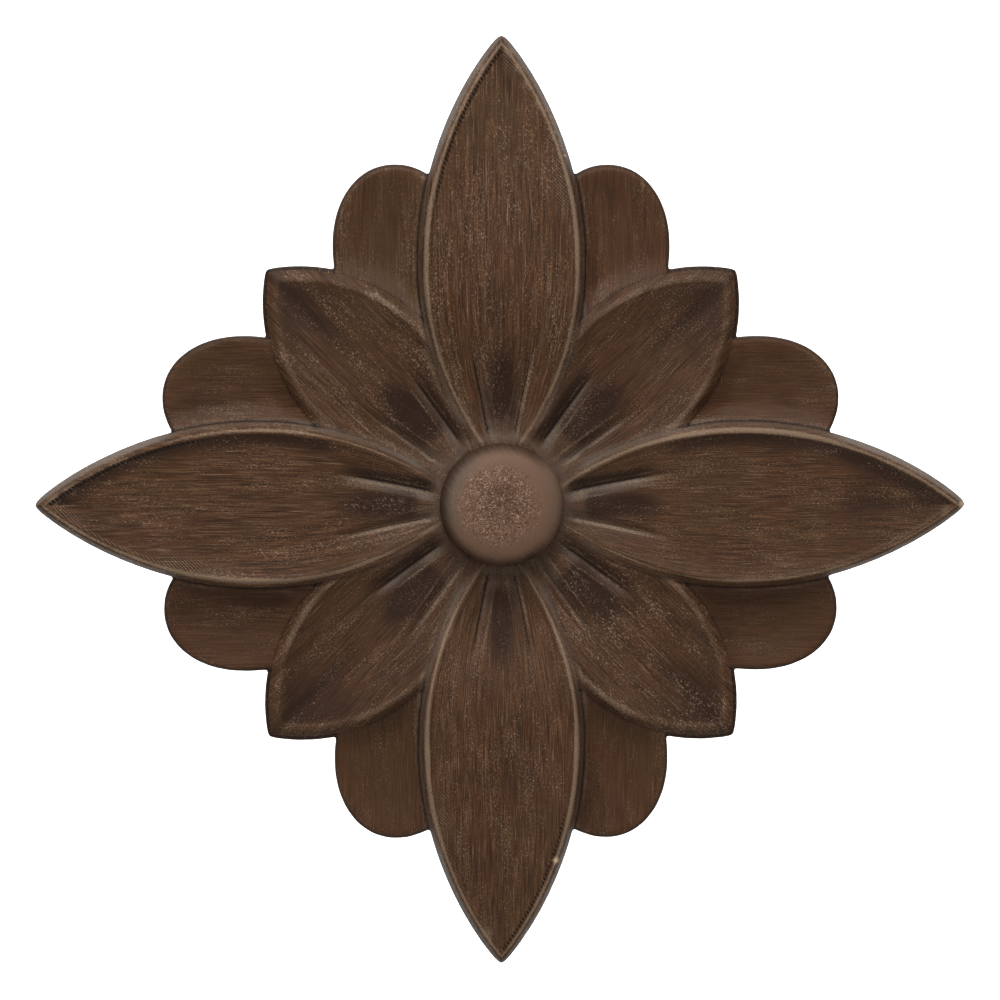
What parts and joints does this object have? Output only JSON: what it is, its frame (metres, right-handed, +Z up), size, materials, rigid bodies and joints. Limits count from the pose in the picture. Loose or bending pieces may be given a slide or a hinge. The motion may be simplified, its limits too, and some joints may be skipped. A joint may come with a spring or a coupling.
{
  "type": "carved wall medallion",
  "caption": "Carved four-pointed rosette in dark stained wood, with dished petals, low lobes and a round boss, flat at the back to hang on a wall.",
  "frame": {"origin": "centre of the flat back, where the medallion meets the wall", "axes": "+Y from the front into the wall, +Z up along one large petal, +X to the viewer's right along another"},
  "size_m": [0.3, 0.019, 0.3],
  "materials": {
    "stained_wood": "dark brown stain, brushed along the petals, rubbed lighter on the rims and the boss, nearly matt"
  },
  "bodies": {
    "root": {"medallion": "stained_wood"}
  },
  "joints": []
}
